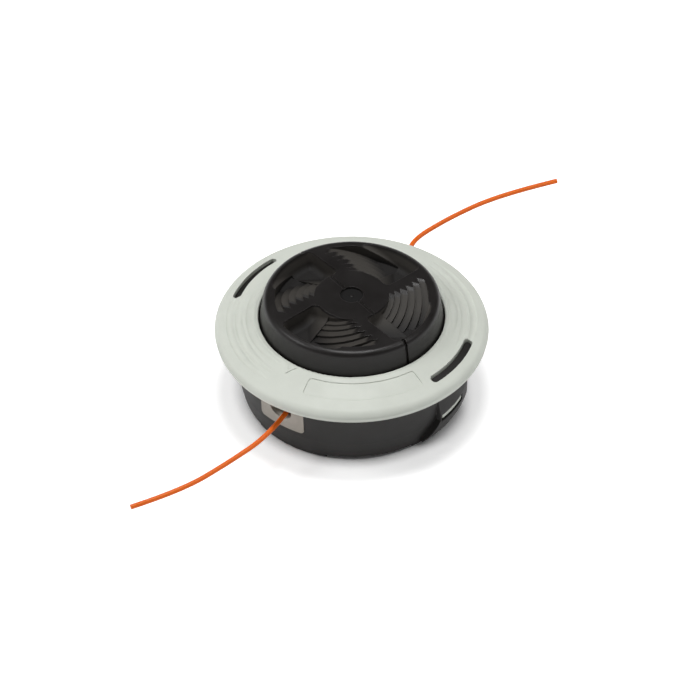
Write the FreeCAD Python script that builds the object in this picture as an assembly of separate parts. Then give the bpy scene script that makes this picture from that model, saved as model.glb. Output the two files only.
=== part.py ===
import FreeCAD, Part
import math
import os

# Bump feed trimmer head, millimetres, +Z up towards the bump knob.
# The origin is on the turning axis in the plane of the feet; the front eyelet is on -Y, the rear one on +Y.

# Cover disc
DISC_R = 65.0
COVER_T = 2.6
LIP_T = 3.0
DISH_DROP = 7.0
RIM_H = 3.4
RIM_ROUND = 2.4
RIM_OVERHANG = 8.6
SPIGOT_T = 2.3
SPIGOT_H = 3.0
SPIGOT_GAP = 0.6
SLOT_OFFSET = 0.7
SLOT_W = 4.1
SLOT_SPAN = 34.5
RIPPLE_STEPS = (4.8, 9.9, 14.2)
RIPPLE_ANGLE = 50.0
RIPPLE_SPAN = 68.0
RIPPLE_W = 3.6
RIPPLE_DEPTH = 0.75
PLATE_INSET = 4.2
PLATE_W = 8.6
PLATE_ANGLE0 = -76.5
PLATE_ANGLE1 = -17.5
PLATE_DEPTH = 0.4
ARROW_W = 5.6
ARROW_L = 4.6
ARROW_LINE = 0.9
ARROW_H = 0.35

# Housing
WALL_FLARE = 2.2
FOOT_FLARE = 2.4
WALL_MID_Z = 12.0
WALL_T = 2.5
FLOOR_Z = 5.0
FLOOR_T = 3.0
FOOT_SPAN = 43.0
FOOT_H = 2.2
HUB_R = 13.0
HUB_RECESS = 1.0
POST_R = 9.0
RIB_COUNT = 12
RIB_T = 2.0
RIB_RECESS = 1.6

# Snap latches
LATCH_ANGLE = 4.5
LATCH_SPAN = 17.0
ARM_T = 1.7
NIB_OUT = 3.4
NIB_H = 3.2
WINDOW_Z = 11.6
BOW_PROUD = 2.8
BOW_MARGIN = 1.6
BOW_FADE_Z = 25.0
SHELF_T = 3.0
TAB_CLEAR = 0.35
TAB_DROP = 1.8

# Eyelets
EYELET_W = 25.0
EYELET_Z = 15.0
EYELET_PROUD = 0.7
EYELET_CORNER = 2.0
EYELET_FLANGE_LAP = 2.0
EYELET_FLANGE_T = 1.3
EYE_Z = 24.6
EYE_GAP = 1.6
EYE_THROAT_W = 10.4
EYE_THROAT_H = 4.6
EYE_MOUTH_W = 13.0
EYE_MOUTH_H = 9.4

# Threaded insert, M10 x 1 left-hand
THREAD_MINOR_R = 4.46
INSERT_HEX_AF = 12.0
INSERT_L = 15.0
INSERT_FLANGE_R = 9.0
INSERT_FLANGE_T = 2.0

# Spool and its line
LINE_D = 2.4
TURNS_WIDE = 3
LAYERS = 7
CHAMBER_PLAY = 0.2
SPOOL_GAP = 2.0
DRUM_R = 22.0
DRUM_T = 2.6
SPOOL_TUBE_T = 1.9
FLANGE_T = 2.0
DIVIDER_T = 1.6
ROOF_T = 3.0
COLLAR_R = 10.6
COLLAR_H = 5.0

# Ratchet lugs
LUG_COUNT = 12
LUG_SPAN = 9.0
UPPER_LUG_INSET = 0.3
UPPER_LUG_W = 2.7
UPPER_LUG_H = 3.9
LOWER_LUG_W = 5.0
LOWER_LUG_H = 4.0
FLOOR_LUG_H = 3.7

# Bump motion
BUMP_TRAVEL = 6.0
END_CLEAR = 0.3
RUN_CLEAR = 0.1
FIT_CLEAR = 0.05

# Spring and washer
SPRING_INSET = 3.7
SPRING_WIRE = 1.8
SPRING_TURNS = 5
SPRING_END_GAP = 0.15
WASHER_GAP0 = 0.6
WASHER_GAP1 = 0.5
WASHER_T = 1.2

# Bump knob
LUG_CLEAR = 1.8
KNOB_GAP = 0.7
KNOB_DRAFT = 1.6
KNOB_SKIRT_H = 6.0
KNOB_SIDE_H = 15.1
KNOB_SHOULDER = 3.3
KNOB_DOME = 0.6
KNOB_T = 2.5
BOSS_R = 8.0
SCOOP_COUNT = 4
SCOOP_ANGLE = -24.0
SCOOP_DEPTH = 9.0
SCOOP_R0 = 17.0
SCOOP_RIM = 4.9
SCOOP_LIFT = 1.0
SCOOP_DRAFT = 2.6
SCOOP_FLARE = 0.6
POCKET_SPAN = 31.0
POCKET_BACK = 0.5
POCKET_LEAD_ANGLE = 14.0
WALL_SLANT_ANGLE = 12.3
WALL_LEAN_ANGLE = 5.0
POCKET_ROUND = 3.0
POCKET_RUN_ANGLE = 62.0
POCKET_RISE_ANGLE = 25.0
POCKET_TILT_ANGLE = -12.0
POCKET_JOIN_ANGLE = 39.0
POCKET_JOIN = 3.5
RIB_SHARES = (0.027, 0.145, 0.277, 0.436, 0.591, 0.745, 0.891)
RAMP_END_ANGLE = 35.0
RAMP_SWEEP_ANGLE = 3.6
RAMP_DROP = 12.0
RIB_TILT_ANGLE = 11.0
LINING_DROP = 3.0
GROOVE_ANGLE = -16.0
GROOVE_W = 1.5
GROOVE_DEPTH = 1.2
NOTCH_DEPTH = 1.2
HUB_DISH_R = 5.5
HUB_DISH_DEPTH = 1.2

# Free line ends, route corners from inside the eyelet to the cut tip, measured from the eye
TAIL_FRONT = ((2.4, 0.0, 0.0), (5.4, -18.9, -1.5), (0.3, -44.9, -3.4), (-6.2, -69.9, -4.7), (-18.8, -90.3, -6.5))
TAIL_REAR = (
    (-2.4, 0.0, 0.0), (-9.7, 14.4, 0.8), (-24.4, 26.8, 0.3),
    (-17.4, 52.8, 3.6), (-4.8, 80.9, 7.0), (12.5, 105.9, 8.2),
)
BEND_SHARE = 0.45

# Radii that follow from the disc: wall, spigot, spool, lugs, opening, knob
WALL_TOP_R = DISC_R - RIM_OVERHANG
WALL_MID_R = WALL_TOP_R - WALL_FLARE
FOOT_R = WALL_MID_R - FOOT_FLARE
BOW_R = WALL_MID_R + BOW_PROUD
SLOT_R = WALL_TOP_R + SLOT_OFFSET
SPIGOT_R = WALL_TOP_R - WALL_T - SPIGOT_GAP
LEDGE_R = SPIGOT_R - SPIGOT_T
SPOOL_R = LEDGE_R - SPOOL_GAP
UPPER_LUG_R1 = SPOOL_R - UPPER_LUG_INSET
UPPER_LUG_R0 = UPPER_LUG_R1 - UPPER_LUG_W
LOWER_LUG_R1 = UPPER_LUG_R0
LOWER_LUG_R0 = LOWER_LUG_R1 - LOWER_LUG_W
OPENING_R = UPPER_LUG_R0 - LUG_CLEAR
RIPPLE_RADII = [OPENING_R + step for step in RIPPLE_STEPS]
PLATE_R0 = OPENING_R + PLATE_INSET
PLATE_R1 = PLATE_R0 + PLATE_W
KNOB_R = OPENING_R - KNOB_GAP
SCOOP_R1 = KNOB_R - SCOOP_RIM
POCKET_MID_R = (SCOOP_R0 + SCOOP_R1) / 2
RAMP_SLOPE_ANGLE = math.degrees(math.atan(RAMP_DROP / KNOB_R))
RIB_RADII = [SCOOP_R0 + share * (SCOOP_R1 - SCOOP_R0) for share in RIB_SHARES]
EYELET_FLANGE_W = EYELET_W + 2 * EYELET_FLANGE_LAP
EYE_R = SPOOL_R + EYE_GAP
WASHER_R0 = POST_R + RUN_CLEAR + SPOOL_TUBE_T + WASHER_GAP0
WASHER_R1 = DRUM_R - DRUM_T - WASHER_GAP1
SPRING_R = WASHER_R1 - SPRING_INSET

# Heights that follow from the stack: feet, floor, spool, cover
FLOOR_TOP = FLOOR_Z + FLOOR_T
CHAMBER_H = TURNS_WIDE * LINE_D + CHAMBER_PLAY
SPOOL_Z = FLOOR_TOP + BUMP_TRAVEL + END_CLEAR
LOW_FLANGE_Z = SPOOL_Z + LOWER_LUG_H
LOW_CHAMBER_Z = LOW_FLANGE_Z + FLANGE_T
DIVIDER_Z = LOW_CHAMBER_Z + CHAMBER_H
HIGH_CHAMBER_Z = DIVIDER_Z + DIVIDER_T
TOP_FLANGE_Z = HIGH_CHAMBER_Z + CHAMBER_H
SPOOL_TOP = TOP_FLANGE_Z + FLANGE_T
LEDGE_Z = SPOOL_TOP + UPPER_LUG_H + END_CLEAR
LIP_Z = LEDGE_Z + LIP_T
RIM_Z = LIP_Z - DISH_DROP
SEAT_Z = RIM_Z
ROOF_Z = TOP_FLANGE_Z - ROOF_T - LINE_D / 4
POST_TOP = ROOF_Z - BUMP_TRAVEL - 2 * END_CLEAR
WASHER_Z = ROOF_Z - WASHER_T
KNOB_SKIRT_Z = SPOOL_TOP + KNOB_SKIRT_H
KNOB_SIDE_Z = SPOOL_TOP + KNOB_SIDE_H
KNOB_EDGE_Z = KNOB_SIDE_Z + KNOB_SHOULDER
KNOB_TOP = KNOB_EDGE_Z + KNOB_DOME
ARM_R1 = SPIGOT_R
ARM_R0 = ARM_R1 - ARM_T
POCKET_R = ARM_R1 + END_CLEAR

AXIS = FreeCAD.Vector(0, 0, 1)
ORIGIN = FreeCAD.Vector(0, 0, 0)


def at(r, z):
    """Point of a half section in the XZ plane."""
    return FreeCAD.Vector(r, 0, z)


def turned(outline, start=0.0, span=360.0):
    """Solid of revolution from (r, z) corners; an entry ((rm, zm), (r, z)) is an arc through rm, zm."""
    edges = []
    last = at(*outline[0])
    for step in list(outline[1:]) + [outline[0]]:
        if isinstance(step[0], tuple):
            end = at(*step[1])
            edges.append(Part.Arc(last, at(*step[0]), end).toShape())
        else:
            end = at(*step)
            edges.append(Part.LineSegment(last, end).toShape())
        last = end
    body = Part.Face(Part.Wire(edges)).revolve(ORIGIN, AXIS, span)
    body.rotate(ORIGIN, AXIS, start)
    return body


def sector(r0, r1, z0, z1, middle, span):
    """Block of a ring between two radii and two heights, span degrees wide about its middle angle."""
    return turned([(r0, z0), (r1, z0), (r1, z1), (r0, z1)], middle - span / 2, span)


def spun(shape, angle):
    """Copy of a shape turned about the axis."""
    copy = shape.copy()
    copy.rotate(ORIGIN, AXIS, angle)
    return copy


def ring_of(shape, count, first=0.0):
    """Copies of a shape spread evenly round the axis."""
    return [spun(shape, first + 360.0 / count * i) for i in range(count)]


def block(x0, x1, y0, y1, z0, z1):
    """Box between two corners."""
    return Part.makeBox(x1 - x0, y1 - y0, z1 - z0, FreeCAD.Vector(x0, y0, z0))


def cover_top(r):
    """Height of the cover's upper surface at a radius: flat lip, straight cone, rounded rim."""
    cone_r0 = OPENING_R + 1.8
    cone_r1 = DISC_R - RIM_ROUND - 0.8
    share = (r - cone_r0) / (cone_r1 - cone_r0)
    return LIP_Z + 0.2 - (DISH_DROP - RIM_ROUND) * share


def make_housing():
    """Cup with feet, hub post, floor lugs, drive-side ribs, eyelet notches and latch windows."""
    outer = [(FOOT_R - 0.8, 0), (FOOT_R, 0.8), ((WALL_MID_R - 0.9, 7.0), (WALL_MID_R, WALL_MID_Z))]
    outer += [(WALL_TOP_R, SEAT_Z)]
    inner = [(POCKET_R, SEAT_Z), (POCKET_R, SEAT_Z - SPIGOT_H - END_CLEAR), (WALL_MID_R - WALL_T, WALL_MID_Z)]
    inner += [(WALL_MID_R - WALL_T - 0.6, FLOOR_TOP), (POST_R, FLOOR_TOP), (POST_R, POST_TOP)]
    hub = [(0, POST_TOP), (0, HUB_RECESS), (HUB_R, HUB_RECESS), (HUB_R, FLOOR_Z)]
    skirt = [(FOOT_R - WALL_T - 0.4, FLOOR_Z), (FOOT_R - WALL_T - 0.4, 0)]
    cup = turned(outer + inner + hub + skirt)
    ribs = ring_of(block(HUB_R - 1, FOOT_R - WALL_T, -RIB_T / 2, RIB_T / 2, RIB_RECESS, FLOOR_Z + 1), RIB_COUNT, 15.0)
    lugs = ring_of(
        sector(LOWER_LUG_R0, LOWER_LUG_R1, FLOOR_TOP - 1, FLOOR_TOP + FLOOR_LUG_H, 0, LUG_SPAN), LUG_COUNT, 15.0)
    cup = cup.fuse(ribs + lugs)
    shelf = sector(WALL_TOP_R - 2, SLOT_R + SLOT_W / 2 + 0.6, SEAT_Z - SHELF_T, SEAT_Z, 0, SLOT_SPAN + 4)
    tab = cover_slot(TAB_CLEAR, SEAT_Z - SHELF_T / 2).common(cover_skin(-TAB_DROP))
    for turn in (0, 180):
        cup = cup.fuse([spun(s, LATCH_ANGLE + turn) for s in (latch_bow(), shelf, tab)])
    gap = 90.0 - FOOT_SPAN
    cuts = []
    for turn in (0, 90, 180, 270):
        cuts.append(sector(HUB_R + 20, BOW_R + 2, -1, FOOT_H, LATCH_ANGLE / 2 + 45 + turn, gap))
    for turn in (0, 180):
        cuts.append(spun(sector(POCKET_R - 4, POCKET_R, WINDOW_Z, SEAT_Z + 1, 0, LATCH_SPAN + 2), LATCH_ANGLE + turn))
        cuts.append(spun(sector(POCKET_R - 4, BOW_R + 2, WINDOW_Z, WINDOW_Z + NIB_H + 2 * END_CLEAR, 0,
                                LATCH_SPAN + 2), LATCH_ANGLE + turn))
        cuts.append(spun(eyelet_notch(FIT_CLEAR), turn))
    cuts.append(insert_shape(FIT_CLEAR, bored=False))
    return cup.cut(cuts).removeSplitter()


def latch_bow():
    """Raised band of the wall in front of a snap arm, at angle zero, with its slanted leading edge."""
    wall_r = WALL_MID_R + (WALL_TOP_R - WALL_MID_R) * (BOW_FADE_Z - WALL_MID_Z) / (SEAT_Z - WALL_MID_Z)
    band = turned([(WALL_MID_R - 1.5, 3.0), (BOW_R - 2.6, 3.0), ((BOW_R - 0.8, 6.5), (BOW_R, 11.0)),
                   (BOW_R, WINDOW_Z + NIB_H + BOW_MARGIN), (wall_r - END_CLEAR, BOW_FADE_Z),
                   (wall_r - WALL_T / 2, BOW_FADE_Z), (WALL_MID_R - 1.5, WALL_MID_Z)], -30, 60)
    half = math.radians(LATCH_SPAN / 2) * BOW_R + BOW_MARGIN
    corners = [(-half - 9, 2.0), (-half, WINDOW_Z + 1), (-half, SEAT_Z + 1), (half + 7, SEAT_Z + 1), (half + 7, 2.0)]
    wire = Part.makePolygon([FreeCAD.Vector(HUB_R, t, z) for t, z in corners + corners[:1]])
    return band.common(Part.Face(wire).extrude(FreeCAD.Vector(DISC_R, 0, 0)))


def eyelet_plan(width, z0, z1, corner, r0, r1):
    """Block facing -Y between two radii's planes, with its two lower corners rounded."""
    plate = block(-width / 2, width / 2, -r1, -r0, z0, z1)
    low = [e for e in plate.Edges if abs(e.BoundBox.ZLength) < 1e-6 and abs(e.BoundBox.ZMin - z0) < 1e-6
           and e.BoundBox.YLength > 1e-6]
    return plate.makeFillet(corner, low)


def eyelet_notch(clear):
    """Opening in the housing wall that takes an eyelet, open at the seat."""
    return eyelet_plan(EYELET_W + 2 * clear, EYELET_Z - clear, SEAT_Z + 1, EYELET_CORNER, HUB_R + 30, DISC_R)


def oval(width, height, y):
    """Elliptical wire facing Y, centred on the line's exit."""
    curve = Part.Ellipse(FreeCAD.Vector(0, y, EYE_Z), width / 2, height / 2)
    curve.Axis = FreeCAD.Vector(0, 1, 0)
    curve.XAxis = FreeCAD.Vector(1, 0, 0)
    return Part.Wire(curve.toShape())


def make_eyelet():
    """Metal guide on -Y: plate through the wall, flange behind it and a flared oval hole."""
    face_r = WALL_MID_R + EYELET_PROUD
    back_r = EYE_R
    top = SEAT_Z - FIT_CLEAR
    skin = turned([(back_r, EYELET_Z - 2), (face_r, EYELET_Z - 2), (face_r + 1.0, top), (back_r, top)], -120, 60)
    plate = eyelet_plan(EYELET_W, EYELET_Z, top, EYELET_CORNER, HUB_R + 20, DISC_R).common(skin)
    flange_r = WALL_MID_R - WALL_T
    flange_z = SEAT_Z - SPIGOT_H - 2 * END_CLEAR
    behind = turned([(back_r, EYELET_Z - 2), (flange_r, EYELET_Z - 2), (flange_r, flange_z), (back_r, flange_z)],
                    -120, 60)
    flange = eyelet_plan(EYELET_FLANGE_W, EYELET_Z - 1.5, flange_z, EYELET_CORNER, HUB_R + 20, DISC_R).common(behind)
    body = plate.fuse(flange).removeSplitter()
    throat = back_r + 1.4
    funnel = Part.makeLoft([oval(EYE_THROAT_W, EYE_THROAT_H, -throat), oval(EYE_THROAT_W * 1.06, EYE_THROAT_H * 1.25,
                            -throat - 1.4), oval(EYE_MOUTH_W, EYE_MOUTH_H, -face_r - 0.6)], True, False)
    inlet = Part.makeLoft([oval(EYE_MOUTH_W, EYE_MOUTH_H, -back_r + 1.4),
                           oval(EYE_THROAT_W, EYE_THROAT_H, -throat)], True, True)
    return body.cut([funnel, inlet])


def hexagon(across, z0, z1):
    """Upright hexagonal bar."""
    radius = across / math.sqrt(3)
    points = [FreeCAD.Vector(radius * math.cos(math.radians(60 * i)), radius * math.sin(math.radians(60 * i)), z0)
              for i in range(7)]
    return Part.Face(Part.makePolygon(points)).extrude(FreeCAD.Vector(0, 0, z1 - z0))


def insert_shape(clear, bored=True):
    """Flanged hexagonal insert in the hub; with a clearance and no bore it is the pocket it sits in."""
    z0 = HUB_RECESS
    flange = Part.makeCylinder(INSERT_FLANGE_R + clear, INSERT_FLANGE_T + clear, FreeCAD.Vector(0, 0, z0))
    if not bored:
        flange = flange.fuse(Part.makeCylinder(INSERT_FLANGE_R + clear, 2, FreeCAD.Vector(0, 0, z0 - 2)))
    body = flange.fuse(hexagon(INSERT_HEX_AF + 2 * clear, z0, z0 + INSERT_L + clear))
    if bored:
        body = body.cut(Part.makeCylinder(THREAD_MINOR_R, INSERT_L + 2, FreeCAD.Vector(0, 0, z0 - 1)))
    return body.removeSplitter()


def make_spring():
    """Compression spring with closed ends: each turn is a level half ring and a half ring that climbs."""
    across = FreeCAD.Vector(0, 1, 0)
    closed = SPRING_WIRE + SPRING_END_GAP
    climb = (WASHER_Z - FLOOR_TOP - SPRING_WIRE - 2 * closed) / (SPRING_TURNS - 2)
    z = FLOOR_TOP + SPRING_WIRE / 2
    halves = []
    for turn in range(SPRING_TURNS + 1):
        ring = Part.Face(Part.Wire(Part.makeCircle(SPRING_WIRE / 2, FreeCAD.Vector(SPRING_R, 0, z), across)))
        halves.append(ring.revolve(FreeCAD.Vector(0, 0, z), AXIS, 180))
        if turn == SPRING_TURNS:
            break
        rise = closed if turn in (0, SPRING_TURNS - 1) else climb
        start = FreeCAD.Vector(-SPRING_R, 0, z)
        end = FreeCAD.Vector(SPRING_R, 0, z + rise)
        ring = Part.Face(Part.Wire(Part.makeCircle(SPRING_WIRE / 2, start, across)))
        halves.append(ring.revolve((start + end) * 0.5, (end - start).cross(across).normalize(), 180))
        z += rise
    return halves[0].fuse(halves[1:]).removeSplitter()


def make_washer():
    """Flat washer on top of the spring."""
    return turned([(WASHER_R0, WASHER_Z), (WASHER_R1, WASHER_Z), (WASHER_R1, ROOF_Z), (WASHER_R0, ROOF_Z)])


def make_spool():
    """Two-chamber spool: tube on the hub post, drum with the spring inside, three flanges, two lug rings."""
    bore = POST_R + RUN_CLEAR
    tube = bore + SPOOL_TUBE_T
    roof_top = ROOF_Z + ROOF_T
    outline = [(bore, LOW_FLANGE_Z), (tube, LOW_FLANGE_Z), (tube, ROOF_Z), (DRUM_R - DRUM_T, ROOF_Z)]
    outline += [(DRUM_R - DRUM_T, LOW_FLANGE_Z), (SPOOL_R, LOW_FLANGE_Z), (SPOOL_R, LOW_CHAMBER_Z)]
    outline += [(DRUM_R, LOW_CHAMBER_Z), (DRUM_R, DIVIDER_Z), (SPOOL_R - 1, DIVIDER_Z), (SPOOL_R - 1, HIGH_CHAMBER_Z)]
    outline += [(DRUM_R, HIGH_CHAMBER_Z), (DRUM_R, TOP_FLANGE_Z), (SPOOL_R, TOP_FLANGE_Z), (SPOOL_R, SPOOL_TOP)]
    outline += [(DRUM_R - DRUM_T, SPOOL_TOP), (DRUM_R - DRUM_T, roof_top), (COLLAR_R, roof_top)]
    outline += [(COLLAR_R, roof_top + COLLAR_H), (BOSS_R + FIT_CLEAR, roof_top + COLLAR_H)]
    outline += [(BOSS_R + FIT_CLEAR, roof_top), (0, roof_top), (0, ROOF_Z), (bore, ROOF_Z)]
    body = turned(outline)
    upper = sector(UPPER_LUG_R0, UPPER_LUG_R1, SPOOL_TOP - 1, SPOOL_TOP + UPPER_LUG_H, 0, LUG_SPAN)
    lower = sector(LOWER_LUG_R0, LOWER_LUG_R1, SPOOL_Z, LOW_FLANGE_Z + 1, 0, LUG_SPAN)
    return body.fuse(ring_of(upper, LUG_COUNT) + ring_of(lower, LUG_COUNT)).removeSplitter()


def make_winding(z0):
    """Line wound in one chamber: a full ring whose outside shows the last layer's turns."""
    inner = DRUM_R + FIT_CLEAR
    outer = DRUM_R + LAYERS * LINE_D * 0.9
    start = z0 + CHAMBER_PLAY / 2
    outline = [(inner, start), (outer, start)]
    for turn in range(TURNS_WIDE):
        low = start + turn * LINE_D
        outline.append(((outer + LINE_D * 0.42, low + LINE_D / 2), (outer, low + LINE_D)))
    outline.append((inner, start + TURNS_WIDE * LINE_D))
    return turned(outline)


def knob_outline(inset):
    """Half section of the knob's outside, drawn in by a wall thickness."""
    side = KNOB_R - inset
    drafted = side - KNOB_DRAFT
    edge = drafted - KNOB_SHOULDER + inset * 0.5
    edge_z = KNOB_EDGE_Z - inset
    low = KNOB_SIDE_Z - inset * 0.5
    bend = 1 - math.sqrt(0.5)
    shoulder = ((drafted - (drafted - edge) * bend, edge_z - (edge_z - low) * bend), (edge, edge_z))
    dome = ((edge * 0.55, edge_z + KNOB_DOME * 0.7), (0, KNOB_TOP - inset))
    return [(0, SPOOL_TOP), (side, SPOOL_TOP), (side, KNOB_SKIRT_Z), (drafted, low), shoulder, dome]


def above_plane(r, angle, z, slope, tilt):
    """Half space over a floor that holds the point (r, angle, z), falls backwards and rises outwards."""
    slab = block(-DISC_R, DISC_R, -DISC_R, DISC_R, 0, DISC_R)
    slab.rotate(ORIGIN, FreeCAD.Vector(1, 0, 0), slope)
    slab.rotate(ORIGIN, FreeCAD.Vector(0, 1, 0), -tilt)
    slab.translate(FreeCAD.Vector(r, 0, z))
    slab.rotate(ORIGIN, AXIS, angle)
    return slab


def scoop_ring(r0, r1, first, last, z0):
    """Ring sector reaching up through the knob."""
    return turned([(r0, z0), (r1, z0), (r1, KNOB_TOP + 5), (r0, KNOB_TOP + 5)], first, last - first)


def scoop_cut():
    """One finger scoop at angle zero: a drafted deep pocket, then a ramp of arc ribs that rises out of it."""
    z0 = KNOB_TOP - KNOB_DOME - SCOOP_DEPTH + SCOOP_LIFT
    z1 = KNOB_TOP + 2
    pocket = turned([(SCOOP_R0 + SCOOP_DRAFT, z0), (SCOOP_R1 - SCOOP_DRAFT, z0), (SCOOP_R1 + SCOOP_FLARE, z1),
                     (SCOOP_R0 - SCOOP_FLARE, z1)], -POCKET_LEAD_ANGLE, POCKET_RUN_ANGLE + POCKET_LEAD_ANGLE)
    ahead = block(-DISC_R, DISC_R, 0, 2 * DISC_R, -DISC_R, DISC_R)
    ahead.rotate(ORIGIN, FreeCAD.Vector(1, 0, 0), WALL_LEAN_ANGLE)
    ahead.rotate(ORIGIN, AXIS, WALL_SLANT_ANGLE)
    ahead.translate(FreeCAD.Vector(POCKET_MID_R, -POCKET_BACK, KNOB_TOP - KNOB_DOME))
    rising = above_plane(POCKET_MID_R, POCKET_JOIN_ANGLE, KNOB_TOP - POCKET_JOIN, POCKET_RISE_ANGLE, POCKET_TILT_ANGLE)
    pocket = pocket.common(ahead).common(rising).removeSplitter()
    low = [e for e in pocket.Edges if e.BoundBox.ZMin < KNOB_TOP - POCKET_ROUND]
    pocket = pocket.makeFillet(POCKET_ROUND, low)
    tools = [pocket]
    for i in range(len(RIB_RADII) - 1):
        r0 = RIB_RADII[i]
        r1 = RIB_RADII[i + 1]
        end = POCKET_SPAN + RAMP_END_ANGLE + RAMP_SWEEP_ANGLE * i
        edge_z = KNOB_EDGE_Z + KNOB_DOME * (1 - (r0 / KNOB_R) ** 2)
        ring = scoop_ring(r0, r1, POCKET_SPAN - 8, end + 14, z0)
        tools.append(ring.common(above_plane(r0, end, edge_z, RAMP_SLOPE_ANGLE, RIB_TILT_ANGLE)))
    return tools[0].fuse(tools[1:])


def scoop_wall():
    """Plastic that lines one scoop from below, before the scoop itself is cut."""
    z0 = KNOB_TOP - KNOB_DOME - SCOOP_DEPTH + SCOOP_LIFT - KNOB_T
    pocket = scoop_ring(SCOOP_R0 - KNOB_T + 0.5, SCOOP_R1 + 1.0, -POCKET_LEAD_ANGLE - 3, POCKET_SPAN + 6, z0)
    ramp = scoop_ring(SCOOP_R0 - KNOB_T + 0.5, SCOOP_R1 + 1.0, POCKET_SPAN, POCKET_SPAN + RAMP_END_ANGLE + 30, z0)
    floor = above_plane(SCOOP_R1 * 0.7, POCKET_SPAN + RAMP_END_ANGLE, KNOB_EDGE_Z - KNOB_T - LINING_DROP, RAMP_SLOPE_ANGLE, 0)
    return pocket.fuse(ramp.common(floor))


def make_knob():
    """Hollow domed knob with four ribbed scoops, a parting groove, skirt notches and a boss into the spool."""
    outside = turned(knob_outline(0.0))
    hollow = turned(knob_outline(KNOB_T))
    boss_top = KNOB_TOP - HUB_DISH_DEPTH - END_CLEAR
    boss = Part.makeCylinder(BOSS_R, boss_top - ROOF_Z - ROOF_T, FreeCAD.Vector(0, 0, ROOF_Z + ROOF_T))
    walls = [w.common(outside) for w in ring_of(scoop_wall(), SCOOP_COUNT, SCOOP_ANGLE)]
    knob = outside.cut(hollow).fuse(walls + [boss])
    cuts = ring_of(scoop_cut(), SCOOP_COUNT, SCOOP_ANGLE)
    line = block(-KNOB_R, KNOB_R, -GROOVE_W / 2, GROOVE_W / 2, KNOB_EDGE_Z, KNOB_TOP + 1)
    lowered = turned(knob_outline(0.0))
    lowered.translate(FreeCAD.Vector(0, 0, -GROOVE_DEPTH))
    cuts.append(spun(line.cut(lowered), GROOVE_ANGLE))
    for turn in (0, 180):
        notch = block(SCOOP_R1, KNOB_R + 1, -GROOVE_W / 2, GROOVE_W / 2, SPOOL_TOP - 1, KNOB_TOP)
        cuts.append(spun(notch.cut(turned(knob_outline(NOTCH_DEPTH))), GROOVE_ANGLE + turn))
    dish = Part.makeCylinder(HUB_DISH_R, 4, FreeCAD.Vector(0, 0, KNOB_TOP - HUB_DISH_DEPTH))
    cuts.append(dish)
    knob = knob.cut(cuts).fuse(Part.makeSphere(1.0, FreeCAD.Vector(0, 0, KNOB_TOP - HUB_DISH_DEPTH - 0.4)))
    return knob.removeSplitter()


def cover_skin(rise):
    """Closed ring whose upper side is the cover's cone moved up by a rise, for marks on the surface."""
    r0 = OPENING_R + 1.8
    r1 = DISC_R - RIM_ROUND - 0.8
    return turned([(r0, 0), (r1, 0), (r1, cover_top(r1) + rise), (r0, cover_top(r0) + rise)])


def make_cover():
    """Deflector disc: lip and cone, rounded rim, seat and spigot, lugs, slots, snap arms and surface marks."""
    cone_r0 = OPENING_R + 1.8
    cone_r1 = DISC_R - RIM_ROUND - 0.8
    rim_low = RIM_Z - RIM_H
    rim_in = DISC_R - COVER_T
    seat_out = WALL_TOP_R + 0.8
    section = [(OPENING_R, LEDGE_Z), (OPENING_R, LIP_Z - 0.7), ((OPENING_R + 0.25, LIP_Z - 0.2), (OPENING_R + 0.8, LIP_Z))]
    section += [(cone_r0, cover_top(cone_r0)), (cone_r1, cover_top(cone_r1))]
    section += [((DISC_R - 0.75, RIM_Z + 1.1), (DISC_R, RIM_Z - 1.0)), (DISC_R - 0.4, rim_low + 0.5)]
    section += [(DISC_R - 0.9, rim_low), (rim_in, rim_low), (rim_in - 0.3, cover_top(rim_in) - COVER_T)]
    section += [(seat_out, cover_top(seat_out) - COVER_T), (seat_out, SEAT_Z), (SPIGOT_R, SEAT_Z)]
    section += [(SPIGOT_R, SEAT_Z - SPIGOT_H), (LEDGE_R, SEAT_Z - SPIGOT_H), (LEDGE_R, LEDGE_Z)]
    disc = turned(section)
    lug = sector(UPPER_LUG_R0, UPPER_LUG_R1, SPOOL_TOP + END_CLEAR, LEDGE_Z + 1, 0, LUG_SPAN)
    disc = disc.fuse(ring_of(lug, LUG_COUNT, 15.0))
    cuts = []
    gap = 2 * math.degrees(math.asin((EYELET_FLANGE_W / 2 + 1) / LEDGE_R))
    for turn in (0, 180):
        cuts.append(sector(LEDGE_R - 1, SPIGOT_R + END_CLEAR, SEAT_Z - SPIGOT_H - 1, SEAT_Z, turn - 90, gap))
        cuts.append(spun(cover_slot(0.0, SEAT_Z - 0.01), LATCH_ANGLE + turn))
        cuts += [spun(ripple(r), RIPPLE_ANGLE + turn) for r in RIPPLE_RADII]
    cuts.append(label_recess())
    disc = disc.cut(cuts)
    arrow = cover_skin(ARROW_H).common(arrow_prism())
    arms = [spun(snap_arm(), LATCH_ANGLE + turn) for turn in (0, 180)]
    return disc.fuse(arms + [arrow]).removeSplitter()


def cover_slot(clear, z0):
    """Curved slot with round ends above a snap arm, at angle zero; with a clearance it is the tab inside it."""
    half = SLOT_W / 2 - clear
    height = LIP_Z - z0 + 2
    ends = SLOT_SPAN / 2 - math.degrees(SLOT_W / 2 / SLOT_R)
    tool = sector(SLOT_R - half, SLOT_R + half, z0, z0 + height, 0, 2 * ends)
    for side in (-1, 1):
        angle = math.radians(side * ends)
        centre = FreeCAD.Vector(SLOT_R * math.cos(angle), SLOT_R * math.sin(angle), z0)
        tool = tool.fuse(Part.makeCylinder(half, height, centre))
    return tool.removeSplitter()


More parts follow.
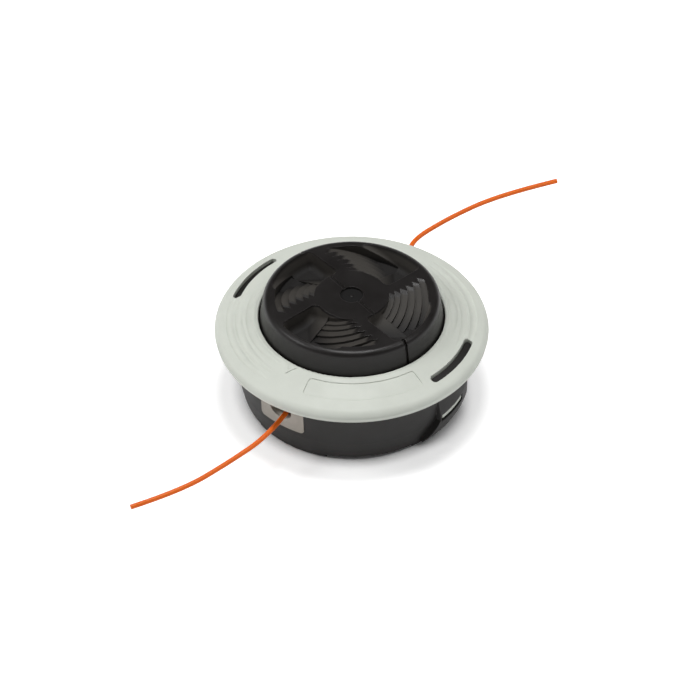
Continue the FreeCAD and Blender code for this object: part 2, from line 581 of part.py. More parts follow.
def ripple(r):
    """Ring cutter tipped towards angle zero, so that its shallow groove fades out at both ends."""
    tube = (RIPPLE_W ** 2 / 4 + RIPPLE_DEPTH ** 2) / (2 * RIPPLE_DEPTH)
    fade = 1 - math.cos(math.radians(RIPPLE_SPAN / 2))
    tip = math.atan(RIPPLE_DEPTH / (r * fade))
    ring = Part.makeTorus(r, tube)
    ring.rotate(ORIGIN, FreeCAD.Vector(0, 1, 0), math.degrees(tip))
    lift = cover_top(r) + tube - RIPPLE_DEPTH + r * math.sin(tip)
    ring.translate(FreeCAD.Vector(0, 0, lift))
    return ring


def label_recess():
    """Bare sunken plate on the cover, with rounded corners."""
    floor = cover_skin(-PLATE_DEPTH)
    tool = turned([(PLATE_R0, FLOOR_TOP), (PLATE_R1, FLOOR_TOP), (PLATE_R1, LIP_Z + 3), (PLATE_R0, LIP_Z + 3)],
                  PLATE_ANGLE0, PLATE_ANGLE1 - PLATE_ANGLE0)
    upright = [e for e in tool.Edges if e.BoundBox.ZLength > 5]
    return tool.makeFillet(1.5, upright).cut(floor)


def arrow_prism():
    """Open arrow head over the front eyelet, pointing outwards."""
    r0 = OPENING_R + 2.2
    half = ARROW_W / 2
    head = [(-half, -r0), (0, -r0 - ARROW_L), (half, -r0), (half - ARROW_LINE * 1.3, -r0)]
    head += [(0, -r0 - ARROW_L + ARROW_LINE * 2), (-half + ARROW_LINE * 1.3, -r0)]
    points = [FreeCAD.Vector(x, y, LEDGE_Z) for x, y in head + head[:1]]
    return Part.Face(Part.makePolygon(points)).extrude(FreeCAD.Vector(0, 0, 2 * LIP_T + 4))


def snap_arm():
    """Spring arm under the cover at angle zero, with a nib that shows in the housing's window."""
    nib_z0 = WINDOW_Z + END_CLEAR
    nib_z1 = nib_z0 + NIB_H
    arm = sector(ARM_R0, ARM_R1, nib_z0, SEAT_Z + 0.5, 0, LATCH_SPAN)
    nib = turned([(ARM_R1 - 0.5, nib_z0), (ARM_R1 + 0.4, nib_z0), (ARM_R1 + NIB_OUT, nib_z0 + 1.2),
                  (ARM_R1 + NIB_OUT, nib_z1), (ARM_R1 - 0.5, nib_z1)], -LATCH_SPAN / 2, LATCH_SPAN)
    return arm.fuse(nib)


def make_tail(route, side, name):
    """Round line along straight runs joined by the largest arcs that the runs allow."""
    points = [FreeCAD.Vector(x, side * EYE_R + y, EYE_Z + z) for x, y, z in route]
    edges = []
    radii = []
    last = points[0]
    for before, corner, after in zip(points, points[1:], points[2:]):
        back = (before - corner).normalize()
        ahead = (after - corner).normalize()
        turn = math.pi - back.getAngle(ahead)
        reach = BEND_SHARE * min((before - corner).Length, (after - corner).Length)
        radius = reach / math.tan(turn / 2)
        middle = (back + ahead).normalize()
        peak = corner + middle * (radius / math.cos(turn / 2) - radius)
        start = corner + back * reach
        end = corner + ahead * reach
        edges.append(Part.LineSegment(last, start).toShape())
        edges.append(Part.Arc(start, peak, end).toShape())
        radii.append(radius)
        last = end
    edges.append(Part.LineSegment(last, points[-1]).toShape())
    path = Part.Wire(edges)
    ring = Part.Wire(Part.makeCircle(LINE_D / 2, points[0], points[1] - points[0]))
    tube = path.makePipeShell([ring], True, False)
    ideal = math.pi * LINE_D ** 2 / 4 * path.Length
    print(name, "radii", [round(r, 1) for r in radii], "length", round(path.Length, 1),
          "volume share", round(tube.Volume / ideal, 4))
    return tube


def main():
    os.makedirs("parts", exist_ok=True)
    eyelet = make_eyelet()
    pieces = {
        "housing": make_housing(),
        "threaded_insert": insert_shape(0.0),
        "spring": make_spring(),
        "thrust_washer": make_washer(),
        "spool": make_spool(),
        "wound_line_lower": make_winding(LOW_CHAMBER_Z),
        "wound_line_upper": make_winding(HIGH_CHAMBER_Z),
        "bump_knob": make_knob(),
        "eyelet_front": eyelet,
        "eyelet_rear": spun(eyelet, 180),
        "cover": make_cover(),
        "line_tail_front": make_tail(TAIL_FRONT, -1, "line_tail_front"),
        "line_tail_rear": make_tail(TAIL_REAR, 1, "line_tail_rear"),
    }
    for name, shape in pieces.items():
        solids = shape.Solids
        box = shape.BoundBox
        print(name, len(solids), "solid", shape.isValid(), "volume", round(shape.Volume),
              "z", round(box.ZMin, 2), round(box.ZMax, 2))
        solids[0].exportStep("parts/" + name + ".step")


main()
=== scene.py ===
import math
import bpy
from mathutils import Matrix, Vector


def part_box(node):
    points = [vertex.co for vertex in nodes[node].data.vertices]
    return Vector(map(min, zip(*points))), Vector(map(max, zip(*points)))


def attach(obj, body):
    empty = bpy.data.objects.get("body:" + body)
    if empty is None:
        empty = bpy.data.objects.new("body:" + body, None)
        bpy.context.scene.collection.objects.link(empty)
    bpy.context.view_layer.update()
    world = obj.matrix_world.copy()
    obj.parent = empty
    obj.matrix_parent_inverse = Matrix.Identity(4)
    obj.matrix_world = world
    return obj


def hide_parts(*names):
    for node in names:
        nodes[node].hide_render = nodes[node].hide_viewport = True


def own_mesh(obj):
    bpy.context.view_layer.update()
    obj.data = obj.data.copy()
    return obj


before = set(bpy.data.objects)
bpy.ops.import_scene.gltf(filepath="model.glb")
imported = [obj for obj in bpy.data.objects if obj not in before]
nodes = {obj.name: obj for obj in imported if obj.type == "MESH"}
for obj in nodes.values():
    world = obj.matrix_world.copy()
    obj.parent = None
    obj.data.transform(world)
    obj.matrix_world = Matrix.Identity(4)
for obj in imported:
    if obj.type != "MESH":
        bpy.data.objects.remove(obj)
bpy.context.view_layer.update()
MM = 0.001

# Cup housing
# The cup that screws on to the gearbox shaft and carries everything else. Glass-filled nylon, injection moulded
# in one shot, with a spark-eroded matt skin outside and plain ribs on the drive side.


def linear(code):
    """Linear RGBA of an sRGB hex colour."""
    parts = [int(code[i:i + 2], 16) / 255 for i in (0, 2, 4)]
    return [c / 12.92 if c <= 0.04045 else ((c + 0.055) / 1.055) ** 2.4 for c in parts] + [1.0]


def add(tree, kind, inputs, **settings):
    """New node with its settings; an input is given a value, or a socket to link from."""
    node = tree.nodes.new(kind)
    for name, value in settings.items():
        setattr(node, name, value)
    for key, value in inputs.items():
        if isinstance(value, bpy.types.NodeSocket):
            tree.links.new(value, node.inputs[key])
        else:
            node.inputs[key].default_value = value
    return node


def blank_material(name):
    """Empty node material, its tree and its output."""
    material = bpy.data.materials.new(name)
    material.use_nodes = True
    tree = material.node_tree
    tree.nodes.clear()
    return material, tree, tree.nodes.new("ShaderNodeOutputMaterial")


def moulded_nylon(name, body, cloud, worn_and_highlight, rough, grain_mm, grain_depth_mm, edge_mm):
    """Injection moulded nylon: clouded colour, sparked or polished grain, rounded edges painted lighter, as rubbing
    and painted highlight.
    """
    material, tree, output = blank_material(name)
    place = add(tree, "ShaderNodeTexCoord", {}).outputs["Object"]
    clouds = add(tree, "ShaderNodeTexNoise", {"Vector": place, "Scale": 1 / (14 * MM), "Detail": 3.0,
                                              "Roughness": 0.6})
    spread = add(tree, "ShaderNodeMapRange", {"Value": clouds.outputs["Fac"], "From Min": 0.35, "From Max": 0.65})
    tone = add(tree, "ShaderNodeMix", {0: spread.outputs["Result"], 6: linear(body), 7: linear(cloud)},
               data_type="RGBA")
    grain = add(tree, "ShaderNodeTexNoise", {"Vector": place, "Scale": 1 / (grain_mm * MM), "Detail": 2.0})
    edge = add(tree, "ShaderNodeBevel", {"Radius": edge_mm * MM}, samples=6)
    flat = add(tree, "ShaderNodeNewGeometry", {})
    match = add(tree, "ShaderNodeVectorMath", {0: edge.outputs["Normal"], 1: flat.outputs["Normal"]},
                operation="DOT_PRODUCT")
    # edges are painted lighter, partly as rubbed wear and partly as painted highlight
    edge_rub_and_highlight = add(tree, "ShaderNodeMapRange", {"Value": match.outputs["Value"], "From Min": 0.985, "From Max": 0.80})
    edge_wear_and_highlight_mask = add(tree, "ShaderNodeMath", {0: edge_rub_and_highlight.outputs["Result"], 1: grain.outputs["Fac"]}, operation="MULTIPLY")
    colour = add(tree, "ShaderNodeMix", {0: edge_wear_and_highlight_mask.outputs["Value"], 6: tone.outputs[2], 7: linear(worn_and_highlight)},
                 data_type="RGBA")
    sheen = add(tree, "ShaderNodeMapRange", {"Value": clouds.outputs["Fac"], "From Min": 0.3, "From Max": 0.7,
                                             "To Min": rough - 0.05, "To Max": rough + 0.05})
    bump = add(tree, "ShaderNodeBump", {"Height": grain.outputs["Fac"], "Distance": grain_depth_mm * MM,
                                        "Strength": 0.6, "Normal": edge.outputs["Normal"]})
    shader = add(tree, "ShaderNodeBsdfPrincipled", {"Base Color": colour.outputs[2],
                                                    "Roughness": sheen.outputs["Result"],
                                                    "IOR": 1.53, "Specular IOR Level": 0.32,
                                                    "Normal": bump.outputs["Normal"]})
    tree.links.new(shader.outputs["BSDF"], output.inputs["Surface"])
    return material


# Glass-filled nylon off a sparked tool: matt charcoal with a short, even grain. The real grain is about
# 0.2 mm; it is drawn at 0.7 mm so that it shows at this picture size.
sparked_nylon = moulded_nylon("black_glass_filled_nylon", "171514", "1c1a18", "363331", 0.56, 0.7, 0.05, 0.35)
nodes["housing"].data.materials[0] = sparked_nylon

# Ejector pin marks on the drive side
# Round witness marks that the mould's ejector pins leave on the floor between the ribs: the housing's own nylon,
# standing a tenth of a millimetre proud.
PIN_R = 2.4 * MM
PIN_PROUD = 0.1 * MM
PIN_RING_R = 36.0 * MM
PIN_COUNT = 12
PIN_FLOOR_Z = 5.0 * MM


def tree_with(name, sizes):
    """Geometry node group with an output and named number inputs; gives the tree, its input node and output node."""
    tree = bpy.data.node_groups.new(name, "GeometryNodeTree")
    tree.interface.new_socket("Geometry", in_out="OUTPUT", socket_type="NodeSocketGeometry")
    for label, kind in sizes:
        tree.interface.new_socket(label, in_out="INPUT", socket_type=kind)
    return tree, tree.nodes.new("NodeGroupInput"), tree.nodes.new("NodeGroupOutput")


def made_by(tree, name, values):
    """Plain mesh object from a geometry node group whose inputs are set by name to these values."""
    carrier = bpy.data.objects.new(name + "_source", bpy.data.meshes.new(name + "_source"))
    bpy.context.scene.collection.objects.link(carrier)
    modifier = carrier.modifiers.new("shape", "NODES")
    modifier.node_group = tree
    for item in tree.interface.items_tree:
        if item.item_type == "SOCKET" and item.in_out == "INPUT":
            modifier[item.identifier] = values[item.name]
    evaluated = carrier.evaluated_get(bpy.context.evaluated_depsgraph_get())
    mesh = bpy.data.meshes.new_from_object(evaluated)
    carrier.modifiers.remove(modifier)
    bpy.data.objects.remove(carrier)
    mesh.name = name
    piece = bpy.data.objects.new(name, mesh)
    bpy.context.scene.collection.objects.link(piece)
    return piece


marks, sizes, result = tree_with("ejector_marks", [("Pin radius", "NodeSocketFloat"), ("Proud", "NodeSocketFloat"),
                                                   ("Ring radius", "NodeSocketFloat"), ("Count", "NodeSocketInt"),
                                                   ("Height", "NodeSocketFloat")])
ring = add(marks, "GeometryNodeMeshCircle", {"Vertices": sizes.outputs["Count"],
                                             "Radius": sizes.outputs["Ring radius"]})
lift = add(marks, "ShaderNodeCombineXYZ", {"Z": sizes.outputs["Height"]})
raised = add(marks, "GeometryNodeTransform", {"Geometry": ring.outputs["Mesh"],
                                              "Translation": lift.outputs["Vector"]})
double = add(marks, "ShaderNodeMath", {0: sizes.outputs["Proud"], 1: 2.0}, operation="MULTIPLY")
pin = add(marks, "GeometryNodeMeshCylinder", {"Vertices": 32, "Radius": sizes.outputs["Pin radius"],
                                              "Depth": double.outputs["Value"]})
spread = add(marks, "GeometryNodeInstanceOnPoints", {"Points": raised.outputs["Geometry"],
                                                     "Instance": pin.outputs["Mesh"]})
real = add(marks, "GeometryNodeRealizeInstances", {"Geometry": spread.outputs["Instances"]})
dressed = add(marks, "GeometryNodeSetMaterial", {"Geometry": real.outputs["Geometry"], "Material": sparked_nylon})
marks.links.new(dressed.outputs["Geometry"], result.inputs["Geometry"])
ejector_marks = made_by(marks, "ejector_marks", {"Pin radius": PIN_R, "Proud": PIN_PROUD, "Ring radius": PIN_RING_R,
                                                 "Count": PIN_COUNT, "Height": PIN_FLOOR_Z})
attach(ejector_marks, "head")

# Threaded insert
# Flanged hexagonal steel nut moulded into the hub, turned on a lathe, tapped left-hand and zinc plated. It takes
# the gearbox shaft.
BORE_R = 4.46 * MM
THREAD_PITCH = 1.0 * MM
THREAD_L = 14.0 * MM
THREAD_Z = 1.5 * MM
THREAD_CREST = 0.3 * MM


def worked_steel(name, tone, shade, rough, streak_mm, turned_axis):
    """Bare or plated steel: tool streaks round the turning axis or an even tumbled cloud, metallic all over."""
    material, tree, output = blank_material(name)
    place = add(tree, "ShaderNodeTexCoord", {}).outputs["Object"]
    apart = add(tree, "ShaderNodeSeparateXYZ", {"Vector": place})
    flat = add(tree, "ShaderNodeCombineXYZ", {"X": apart.outputs["X"], "Y": apart.outputs["Y"]})
    radius = add(tree, "ShaderNodeVectorMath", {0: flat.outputs["Vector"]}, operation="LENGTH")
    around = add(tree, "ShaderNodeCombineXYZ", {"X": radius.outputs["Value"], "Z": apart.outputs["Z"]})
    source = around.outputs["Vector"] if turned_axis else place
    streak = add(tree, "ShaderNodeTexNoise", {"Vector": source, "Scale": 1 / (streak_mm * MM), "Detail": 3.0})
    cloud = add(tree, "ShaderNodeTexNoise", {"Vector": place, "Scale": 1 / (6 * MM), "Detail": 2.0})
    colour = add(tree, "ShaderNodeMix", {0: cloud.outputs["Fac"], 6: linear(shade), 7: linear(tone)},
                 data_type="RGBA")
    gloss = add(tree, "ShaderNodeMapRange", {"Value": streak.outputs["Fac"], "From Min": 0.3, "From Max": 0.7,
                                             "To Min": rough - 0.08, "To Max": rough + 0.08})
    bump = add(tree, "ShaderNodeBump", {"Height": streak.outputs["Fac"], "Distance": 0.03 * MM, "Strength": 0.4})
    shader = add(tree, "ShaderNodeBsdfPrincipled", {"Base Color": colour.outputs[2], "Metallic": 1.0,
                                                    "Roughness": gloss.outputs["Result"],
                                                    "Normal": bump.outputs["Normal"]})
    tree.links.new(shader.outputs["BSDF"], output.inputs["Surface"])
    return material


# Bright zinc on turned steel: fine rings round the axis, about 0.3 mm apart, with a faintly blue shine.
zinc_steel = worked_steel("zinc_plated_turned_steel", "c6c9cc", "b2b5b8", 0.32, 0.3, True)
nodes["threaded_insert"].data.materials[0] = zinc_steel

thread, sizes, result = tree_with("left_hand_thread", [("Bore radius", "NodeSocketFloat"),
                                                       ("Turns", "NodeSocketFloat"), ("Length", "NodeSocketFloat"),
                                                       ("Crest", "NodeSocketFloat"), ("Start", "NodeSocketFloat")])
helix = add(thread, "GeometryNodeCurveSpiral", {"Resolution": 40, "Rotations": sizes.outputs["Turns"],
                                                "Start Radius": sizes.outputs["Bore radius"],
                                                "End Radius": sizes.outputs["Bore radius"],
                                                "Height": sizes.outputs["Length"], "Reverse": True})
lift = add(thread, "ShaderNodeCombineXYZ", {"Z": sizes.outputs["Start"]})
raised = add(thread, "GeometryNodeTransform", {"Geometry": helix.outputs["Curve"],
                                               "Translation": lift.outputs["Vector"]})
crest = add(thread, "GeometryNodeCurvePrimitiveCircle", {"Resolution": 5, "Radius": sizes.outputs["Crest"]})
swept = add(thread, "GeometryNodeCurveToMesh", {"Curve": raised.outputs["Geometry"],
                                                "Profile Curve": crest.outputs["Curve"], "Fill Caps": True})
real = add(thread, "GeometryNodeRealizeInstances", {"Geometry": swept.outputs["Mesh"]})
dressed = add(thread, "GeometryNodeSetMaterial", {"Geometry": real.outputs["Geometry"], "Material": zinc_steel})
thread.links.new(dressed.outputs["Geometry"], result.inputs["Geometry"])
insert_thread = made_by(thread, "insert_thread", {"Bore radius": BORE_R, "Turns": THREAD_L / THREAD_PITCH,
                                                  "Length": THREAD_L, "Crest": THREAD_CREST, "Start": THREAD_Z})
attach(insert_thread, "head")

# Line eyelets
# Two pressed and sintered steel guides that slide into notches in the cup's wall. Their flared mouths take the
# wear of the running line.

# Sintered steel, tumbled: pale warm grey, soft shine, a fine even pitting of about 0.4 mm.
sintered_steel = worked_steel("tumbled_sintered_steel", "938e87", "807b74", 0.42, 0.4, False)
for side in ("eyelet_front", "eyelet_rear"):
    nodes[side].data.materials[0] = sintered_steel

# Feed spring
# Round-wire compression spring on the cup's floor, coiled cold with both end turns closed. It pushes the spool up
# and shortens when the knob is bumped.
SPRING_R = 15.2 * MM
SPRING_WIRE_R = 0.9 * MM
SPRING_TURNS = 5.5
SPRING_LOW = 8.0 * MM
SPRING_HIGH = 31.9 * MM
SPRING_CLOSED = 1.95 * MM

# Patented spring wire: drawn dark steel with a light oil shine and drawing streaks about 0.25 mm apart.
spring_wire = worked_steel("drawn_spring_steel", "8c8d8e", "6f7072", 0.30, 0.25, False)

coil, sizes, result = tree_with("feed_spring", [("Coil radius", "NodeSocketFloat"),
                                                ("Wire radius", "NodeSocketFloat"), ("Turns", "NodeSocketFloat"),
                                                ("Low", "NodeSocketFloat"), ("Rise", "NodeSocketFloat"),
                                                ("Closed rise", "NodeSocketFloat")])
strand = add(coil, "GeometryNodeCurvePrimitiveLine", {"End": (0, 0, 1)})
points = add(coil, "GeometryNodeResampleCurve", {"Curve": strand.outputs["Curve"], "Count": 300})
along = add(coil, "GeometryNodeSplineParameter", {})
turn = add(coil, "ShaderNodeMath", {0: along.outputs["Factor"], 1: sizes.outputs["Turns"]}, operation="MULTIPLY")
angle = add(coil, "ShaderNodeMath", {0: turn.outputs["Value"], 1: math.tau}, operation="MULTIPLY")
cosine = add(coil, "ShaderNodeMath", {0: angle.outputs["Value"]}, operation="COSINE")
sine = add(coil, "ShaderNodeMath", {0: angle.outputs["Value"]}, operation="SINE")
x = add(coil, "ShaderNodeMath", {0: cosine.outputs["Value"], 1: sizes.outputs["Coil radius"]}, operation="MULTIPLY")
y = add(coil, "ShaderNodeMath", {0: sine.outputs["Value"], 1: sizes.outputs["Coil radius"]}, operation="MULTIPLY")
last = add(coil, "ShaderNodeMath", {0: sizes.outputs["Turns"], 1: 1.0}, operation="SUBTRACT")
first_turn = add(coil, "ShaderNodeMapRange", {"Value": turn.outputs["Value"], "To Max": sizes.outputs["Closed rise"]})
free_turns = add(coil, "ShaderNodeMapRange", {"Value": turn.outputs["Value"], "From Min": 1.0,
                                              "From Max": last.outputs["Value"], "To Max": sizes.outputs["Rise"]},
                 interpolation_type="SMOOTHSTEP")
last_turn = add(coil, "ShaderNodeMapRange", {"Value": turn.outputs["Value"], "From Min": last.outputs["Value"],
                                             "From Max": sizes.outputs["Turns"],
                                             "To Max": sizes.outputs["Closed rise"]})
low_sum = add(coil, "ShaderNodeMath", {0: first_turn.outputs["Result"], 1: free_turns.outputs["Result"]},
              operation="ADD")
rise_sum = add(coil, "ShaderNodeMath", {0: low_sum.outputs["Value"], 1: last_turn.outputs["Result"]}, operation="ADD")
z = add(coil, "ShaderNodeMath", {0: rise_sum.outputs["Value"], 1: sizes.outputs["Low"]}, operation="ADD")
spot = add(coil, "ShaderNodeCombineXYZ", {"X": x.outputs["Value"], "Y": y.outputs["Value"], "Z": z.outputs["Value"]})
wound = add(coil, "GeometryNodeSetPosition", {"Geometry": points.outputs["Curve"],
                                              "Position": spot.outputs["Vector"]})
wire = add(coil, "GeometryNodeCurvePrimitiveCircle", {"Resolution": 14, "Radius": sizes.outputs["Wire radius"]})
swept = add(coil, "GeometryNodeCurveToMesh", {"Curve": wound.outputs["Geometry"],
                                              "Profile Curve": wire.outputs["Curve"], "Fill Caps": True})
real = add(coil, "GeometryNodeRealizeInstances", {"Geometry": swept.outputs["Mesh"]})
smooth = add(coil, "GeometryNodeSetShadeSmooth", {"Geometry": real.outputs["Geometry"]})
dressed = add(coil, "GeometryNodeSetMaterial", {"Geometry": smooth.outputs["Geometry"], "Material": spring_wire})
coil.links.new(dressed.outputs["Geometry"], result.inputs["Geometry"])
feed_spring = made_by(coil, "feed_spring", {
    "Coil radius": SPRING_R, "Wire radius": SPRING_WIRE_R, "Turns": SPRING_TURNS, "Low": SPRING_LOW + SPRING_WIRE_R,
    "Rise": SPRING_HIGH - SPRING_LOW - 2 * SPRING_WIRE_R - 2 * SPRING_CLOSED, "Closed rise": SPRING_CLOSED})
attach(feed_spring, "head")
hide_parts("spring")
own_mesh(feed_spring)

# Thrust washer
# Flat stamped ring on top of the spring, so that the spool turns on it and not on the wire. Zinc plated as the
# insert is.
nodes["thrust_washer"].data.materials[0] = zinc_steel

# Line spool
# Two-chamber spool with a ring of drive lugs at each end, moulded in plain nylon and left as it leaves the tool.

# Unfilled nylon off a polished tool: deep black, a little glossier than the cup, faint flow clouds.
polished_nylon = moulded_nylon("black_unfilled_nylon", "1d1c1b", "242221", "3a3836", 0.40, 0.9, 0.02, 0.3)
nodes["spool"].data.materials[0] = polished_nylon

# Wound line
# Both chambers' line, wound in layers from a split in the divider. Extruded round nylon monofilament.


def extruded_line(name, body, deep, rough):
    """Drawn monofilament: dyed through, so the colour is deep; fine die lines and a waxy shine."""
    material, tree, output = blank_material(name)
    place = add(tree, "ShaderNodeTexCoord", {}).outputs["Object"]
    cloud = add(tree, "ShaderNodeTexNoise", {"Vector": place, "Scale": 1 / (9 * MM), "Detail": 2.0})
    die = add(tree, "ShaderNodeTexNoise", {"Vector": place, "Scale": 1 / (0.5 * MM), "Detail": 2.0})
    colour = add(tree, "ShaderNodeMix", {0: cloud.outputs["Fac"], 6: linear(deep), 7: linear(body)}, data_type="RGBA")
    gloss = add(tree, "ShaderNodeMapRange", {"Value": die.outputs["Fac"], "From Min": 0.3, "From Max": 0.7,
                                             "To Min": rough - 0.06, "To Max": rough + 0.06})
    bump = add(tree, "ShaderNodeBump", {"Height": die.outputs["Fac"], "Distance": 0.02 * MM, "Strength": 0.5})
    shader = add(tree, "ShaderNodeBsdfPrincipled", {"Base Color": colour.outputs[2],
                                                    "Roughness": gloss.outputs["Result"],
                                                    "IOR": 1.53, "Specular IOR Level": 0.3,
                                                    "Normal": bump.outputs["Normal"]})
    tree.links.new(shader.outputs["BSDF"], output.inputs["Surface"])
    return material


# Nylon line: bright orange all through, waxy, with clouds along its length and die marks of about 0.5 mm.
nylon_line = extruded_line("extruded_nylon_line", "ee6f12", "e4630d", 0.42)
for chamber in ("wound_line_lower", "wound_line_upper"):
    nodes[chamber].data.materials[0] = nylon_line

# Bump knob
# Domed knob with four ribbed finger scoops, pressed on to the spool. It is struck on the ground to feed line, so
# it is a tough, satin nylon moulding.

# Toughened nylon off a satin tool: warm black, soft broad shine, edges painted a little greyer, partly as rubbing and
# partly as painted highlight. Grain of 0.2 mm drawn at 0.8 mm.
satin_nylon = moulded_nylon("satin_black_nylon", "13100f", "181514", "2e2926", 0.38, 0.8, 0.02, 0.45)
nodes["bump_knob"].data.materials[0] = satin_nylon

# The scoops are sparked matt, so that fingers grip. Their ribs are painted greyer than the top, partly as scuffing
# and partly as painted light where the ribs catch the lamps, and the deep pockets are painted near black as painted
# shade.
# The groove across the top and the dish in its middle are painted near black as painted shade.
SCOOP_R = 38.4 * MM
SCOOP_EDGE = 0.6 * MM
HUB_TOP_R = 16.0 * MM
SUNK_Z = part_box("bump_knob")[1][2] - 0.75 * MM
RIB_DEPTH = 4.0 * MM
POCKET_DEPTH = 7.5 * MM
SOFT_EDGE = 0.5 * MM
tree = satin_nylon.node_tree
shader = tree.nodes["Principled BSDF"]
place = add(tree, "ShaderNodeTexCoord", {}).outputs["Object"]
apart = add(tree, "ShaderNodeSeparateXYZ", {"Vector": place})
flat = add(tree, "ShaderNodeCombineXYZ", {"X": apart.outputs["X"], "Y": apart.outputs["Y"]})
radius = add(tree, "ShaderNodeVectorMath", {0: flat.outputs["Vector"]}, operation="LENGTH")
inside = add(tree, "ShaderNodeMapRange", {"Value": radius.outputs["Value"], "From Min": SCOOP_R,
                                          "From Max": SCOOP_R - SCOOP_EDGE})
middle = add(tree, "ShaderNodeMapRange", {"Value": radius.outputs["Value"], "From Min": HUB_TOP_R + SOFT_EDGE,
                                          "From Max": HUB_TOP_R})
below = add(tree, "ShaderNodeMapRange", {"Value": apart.outputs["Z"], "From Min": SUNK_Z,
                                         "From Max": SUNK_Z - SOFT_EDGE})
sunk = add(tree, "ShaderNodeMath", {0: inside.outputs["Result"], 1: below.outputs["Result"]}, operation="MULTIPLY")
# painted shade: the colour darkens from rib depth down to near black in the deep pockets
deep = add(tree, "ShaderNodeMapRange", {"Value": apart.outputs["Z"], "From Min": SUNK_Z - RIB_DEPTH,
                                        "From Max": SUNK_Z - POCKET_DEPTH})
# grey 3b3834 on the ribs is partly scuffing and partly painted light; 161413 is the pockets' painted shade
rib_light_pocket_shade = add(tree, "ShaderNodeMix", {0: deep.outputs["Result"], 6: linear("3b3834"), 7: linear("161413")},
              data_type="RGBA")
# near black 060505 in the hub's groove and dish is painted shade
groove_painted_shade = add(tree, "ShaderNodeMix", {0: middle.outputs["Result"], 6: rib_light_pocket_shade.outputs[2], 7: linear("060505")},
           data_type="RGBA")
dull = add(tree, "ShaderNodeMapRange", {"Value": middle.outputs["Result"], "To Min": 0.66, "To Max": 0.9})
scoop_painted_light_and_shade = add(tree, "ShaderNodeMix", {0: sunk.outputs["Value"], 6: shader.inputs["Base Color"].links[0].from_socket,
                                     7: groove_painted_shade.outputs[2]}, data_type="RGBA")
rougher = add(tree, "ShaderNodeMix", {0: sunk.outputs["Value"], 2: shader.inputs["Roughness"].links[0].from_socket,
                                      3: dull.outputs["Result"]})
tree.links.new(scoop_painted_light_and_shade.outputs[2], shader.inputs["Base Color"])
tree.links.new(rougher.outputs[0], shader.inputs["Roughness"])

# Deflector cover
# Dished disc that snaps on to the cup with two arms and holds the spool down. Pale nylon, moulded, with slots over
# the arms, fading ripples and a bare sunken plate.

# Pale pigmented nylon off a finely sparked tool: greenish light grey, matt. Grain of 0.15 mm drawn at 0.7 mm.
pale_nylon = moulded_nylon("pale_grey_nylon", "d2d6cd", "ced2c9", "dfe3da", 0.50, 0.7, 0.02, 0.35)
nodes["cover"].data.materials[0] = pale_nylon

# Free line ends
# The two ends of the wound line, pulled out through the eyelets and cut square. Stiff enough to stand out from the
# head with the set that they took on the spool.
LINE_D = 2.4 * MM
FRONT_ROUTE = ((2.4, -50.6, 24.6), (5.4, -69.5, 23.1), (0.3, -95.5, 21.2), (-6.2, -120.5, 19.9),
               (-18.8, -140.9, 18.1))
REAR_ROUTE = ((-2.4, 50.6, 24.6), (-9.7, 65.0, 25.4), (-24.4, 77.4, 24.9), (-17.4, 103.4, 28.2), (-4.8, 131.5, 31.6),
              (12.5, 156.5, 32.8))


def line_end(name, route):
    """Round line along a smooth curve that has the route's corners as its control points."""
    curve = bpy.data.curves.new(name, "CURVE")
    curve.dimensions = "3D"
    curve.bevel_depth = LINE_D / 2
    curve.bevel_resolution = 5
    curve.use_fill_caps = True
    curve.resolution_u = 24
    curve.render_resolution_u = 24
    spline = curve.splines.new("NURBS")
    spline.points.add(len(route) - 1)
    for point, corner in zip(spline.points, route):
        point.co = [c * MM for c in corner] + [1.0]
    spline.order_u = 3
    spline.use_endpoint_u = True
    curve.materials.append(nylon_line)
    piece = bpy.data.objects.new(name, curve)
    bpy.context.scene.collection.objects.link(piece)
    return piece


line_front = line_end("line_front", FRONT_ROUTE)
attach(line_front, "head")
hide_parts("line_tail_front")
line_rear = line_end("line_rear", REAR_ROUTE)
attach(line_rear, "head")
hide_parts("line_tail_rear")

# Studio floor
# A sheet of white paper under the head, large enough for every view. Plain and matt, it glows bright where it lies
# open; the glow fades close to the head, a painted shadow there added to the lamps' own shadows.
FLOOR_REACH = 3.0
FLOOR_DROP = 0.05 * MM
SHADOW_REACH = 13 * MM
OPEN_GLOW = 0.52
FAR_GLOW = 0.5
floor_mesh = bpy.data.meshes.new("studio_floor")
corners = [(x * FLOOR_REACH, y * FLOOR_REACH, 0) for x, y in ((-1, -1), (1, -1), (1, 1), (-1, 1))]
floor_mesh.from_pydata(corners, [], [(0, 1, 2, 3)])
studio_floor = bpy.data.objects.new("studio_floor", floor_mesh)
studio_floor.location.z = -FLOOR_DROP
bpy.context.scene.collection.objects.link(studio_floor)
paper, tree, output = blank_material("white_paper")
place = add(tree, "ShaderNodeTexCoord", {}).outputs["Object"]
fibre = add(tree, "ShaderNodeTexNoise", {"Vector": place, "Scale": 1 / (40 * MM), "Detail": 2.0})
colour = add(tree, "ShaderNodeMix", {0: fibre.outputs["Fac"], 6: linear("f6f6f6"), 7: linear("f9f9f9")},
             data_type="RGBA")
matt = add(tree, "ShaderNodeBsdfDiffuse", {"Color": colour.outputs[2]})
rays = add(tree, "ShaderNodeLightPath", {})
seen = add(tree, "ShaderNodeMath", {0: rays.outputs["Is Camera Ray"], 1: rays.outputs["Is Glossy Ray"]},
           operation="ADD")
through = add(tree, "ShaderNodeMath", {0: seen.outputs["Value"], 1: rays.outputs["Is Transmission Ray"]},
              operation="ADD")
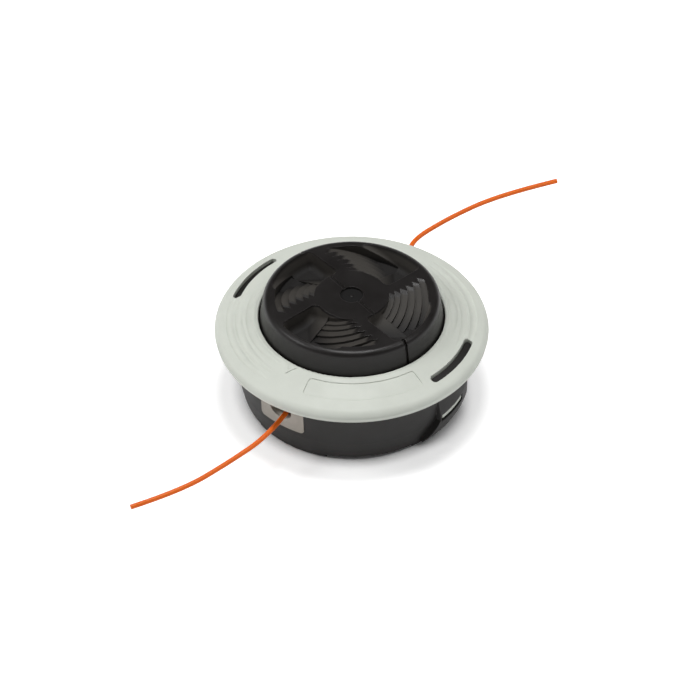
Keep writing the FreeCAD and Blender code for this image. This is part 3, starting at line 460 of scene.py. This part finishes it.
# painted shadow: the glow is taken away where ambient occlusion finds the head near, darkening the floor round it
painted_shadow_ao = add(tree, "ShaderNodeAmbientOcclusion", {"Distance": SHADOW_REACH}, samples=16)
clear = add(tree, "ShaderNodeMapRange", {"Value": painted_shadow_ao.outputs["AO"], "From Min": 0.40, "From Max": 0.74,
                                         "To Max": OPEN_GLOW})
reached = add(tree, "ShaderNodeVectorMath", {0: place}, operation="LENGTH")
far = add(tree, "ShaderNodeMapRange", {"Value": reached.outputs["Value"], "From Min": 0.25, "From Max": 0.9,
                                       "To Max": FAR_GLOW})
level = add(tree, "ShaderNodeMath", {0: clear.outputs["Result"], 1: far.outputs["Result"]}, operation="ADD")
strength = add(tree, "ShaderNodeMath", {0: through.outputs["Value"], 1: level.outputs["Value"]}, operation="MULTIPLY")
glow = add(tree, "ShaderNodeEmission", {"Strength": strength.outputs["Value"]})
both = add(tree, "ShaderNodeAddShader", {0: matt.outputs["BSDF"], 1: glow.outputs["Emission"]})
tree.links.new(both.outputs["Shader"], output.inputs["Surface"])
floor_mesh.materials.append(paper)

# Studio light and camera
# White walls and a dim ceiling, with three soft lamps: one overhead, one from the left and a weak one from the right.
# The camera is a long lens at the photograph's angle.
world = bpy.data.worlds.new("studio_room")
bpy.context.scene.world = world
world.use_nodes = True
tree = world.node_tree
tree.nodes.clear()
output = tree.nodes.new("ShaderNodeOutputWorld")
way = add(tree, "ShaderNodeTexCoord", {}).outputs["Generated"]
height = add(tree, "ShaderNodeSeparateXYZ", {"Vector": way})
ceiling = add(tree, "ShaderNodeMapRange", {"Value": height.outputs["Z"], "From Min": 0.05, "From Max": 0.28})
colour = add(tree, "ShaderNodeMix", {0: ceiling.outputs["Result"], 6: (1, 1, 1, 1), 7: (0.13, 0.13, 0.13, 1)},
             data_type="RGBA")
sky = add(tree, "ShaderNodeBackground", {"Color": colour.outputs[2], "Strength": 1.0})
tree.links.new(sky.outputs["Background"], output.inputs["Surface"])


def soft_lamp(name, azimuth, elevation, distance, size, power):
    """Square lamp that looks at the head from an azimuth and elevation in degrees."""
    lamp = bpy.data.lights.new(name, "AREA")
    lamp.shape = "SQUARE"
    lamp.size = size
    lamp.energy = power
    holder = bpy.data.objects.new(name, lamp)
    a = math.radians(azimuth)
    e = math.radians(elevation)
    back = Vector((math.sin(a) * math.cos(e), -math.cos(a) * math.cos(e), math.sin(e)))
    holder.location = back * distance
    holder.rotation_mode = "QUATERNION"
    holder.rotation_quaternion = (-back).to_track_quat("-Z", "Y")
    bpy.context.scene.collection.objects.link(holder)


soft_lamp("key_lamp", 210, 86, 1.3, 0.34, 8.8)
soft_lamp("left_lamp", -46, 46, 1.3, 0.36, 4.6)
soft_lamp("right_lamp", 115, 54, 1.3, 0.42, 2.2)

CAMERA_AZIMUTH = 37.0
CAMERA_ELEVATION = 41.82
CAMERA_DISTANCE = 1.3
CAMERA_LENS = 139.87
AIM_RIGHT = -0.78 * MM
AIM_UP = 22.70 * MM
camera_data = bpy.data.cameras.new("photo_camera")
camera_data.sensor_width = 36.0
camera_data.lens = CAMERA_LENS
camera_data.clip_start = 0.05
camera_data.clip_end = 30.0
camera = bpy.data.objects.new("photo_camera", camera_data)
az = math.radians(CAMERA_AZIMUTH)
el = math.radians(CAMERA_ELEVATION)
toward_eye = Vector((math.sin(az) * math.cos(el), -math.cos(az) * math.cos(el), math.sin(el)))
right = Vector((math.cos(az), math.sin(az), 0))
target = right * AIM_RIGHT + Vector((0, 0, AIM_UP))
camera.location = target + toward_eye * CAMERA_DISTANCE
camera.rotation_mode = "QUATERNION"
camera.rotation_quaternion = (-toward_eye).to_track_quat("-Z", "Y")
bpy.context.scene.collection.objects.link(camera)
bpy.context.scene.camera = camera
bpy.context.scene.view_settings.view_transform = "Standard"
